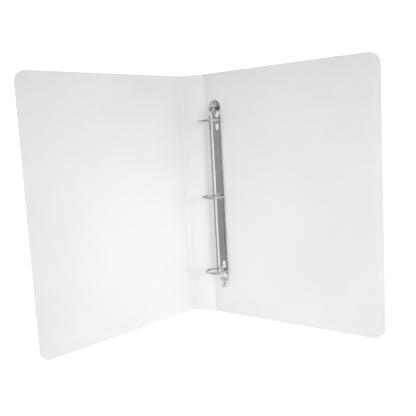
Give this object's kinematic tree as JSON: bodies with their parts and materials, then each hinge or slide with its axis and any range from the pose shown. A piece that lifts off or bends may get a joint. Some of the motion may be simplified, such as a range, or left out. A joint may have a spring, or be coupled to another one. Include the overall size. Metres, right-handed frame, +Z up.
{
  "type": "ring binder",
  "caption": "Translucent plastic ring binder, open on its bottom edges, with living hinges, a riveted sprung ring housing and hinged half rings that part to take paper.",
  "frame": {"origin": "under the middle of the open binder's bounding box, on the surface it stands on", "axes": "+Z up along the hinges, +X from the front cover's side across to the back cover's side, -Y the side that the covers open to"},
  "size_m": [0.3938, 0.2366, 0.3492],
  "materials": {
    "cover_sheet": "frosted translucent polypropylene sheet with a satin face",
    "plated_steel": "bright nickel plate",
    "plate_steel": "zinc-plated cold-rolled steel",
    "rivet_metal": "nickel-plated, slightly duller than the rings"
  },
  "bodies": {
    "back_cover": {"back_cover": "cover_sheet", "ring_housing": "plated_steel", "lower_rivet": "rivet_metal", "upper_rivet": "rivet_metal", "lower_rivet_cap": "rivet_metal", "upper_rivet_cap": "rivet_metal"},
    "spine": {"spine_panel": "cover_sheet", "back_hinge_band": "cover_sheet", "front_hinge_band": "cover_sheet"},
    "front_cover": {"front_cover": "cover_sheet"},
    "inner_plate": {"inner_hinge_plate": "plate_steel", "lower_ring_inner_half": "plated_steel", "middle_ring_inner_half": "plated_steel", "upper_ring_inner_half": "plated_steel"},
    "outer_plate": {"outer_hinge_plate": "plate_steel", "lower_ring_outer_half": "plated_steel", "middle_ring_outer_half": "plated_steel", "upper_ring_outer_half": "plated_steel"}
  },
  "joints": [
    {"name": "back_hinge", "type": "hinge", "parent": "back_cover", "child": "spine", "pos_m": [-0.04942, 0.11783, 0.17463], "axis": [0, 0, -1], "range_deg": [-60, 109], "deforming": ["back_hinge_band"]},
    {"name": "front_hinge", "type": "hinge", "parent": "spine", "child": "front_cover", "pos_m": [-0.08642, 0.11783, 0.17463], "axis": [0, 0, -1], "range_deg": [-36, 155], "deforming": ["front_hinge_band"]},
    {"name": "rings_open", "type": "hinge", "parent": "back_cover", "child": "inner_plate", "pos_m": [-0.04199, 0.11284, 0.17463], "axis": [0, 0, -1], "range_deg": [0, 10]},
    {"name": "outer_plate_pivot", "type": "hinge", "parent": "back_cover", "child": "outer_plate", "pos_m": [-0.02696, 0.10767, 0.17463], "axis": [0, 0, -1], "range_deg": [-10, 0]}
  ],
  "couplings": [
    {"joint": "outer_plate_pivot", "follows": "rings_open", "ratio": -1}
  ]
}
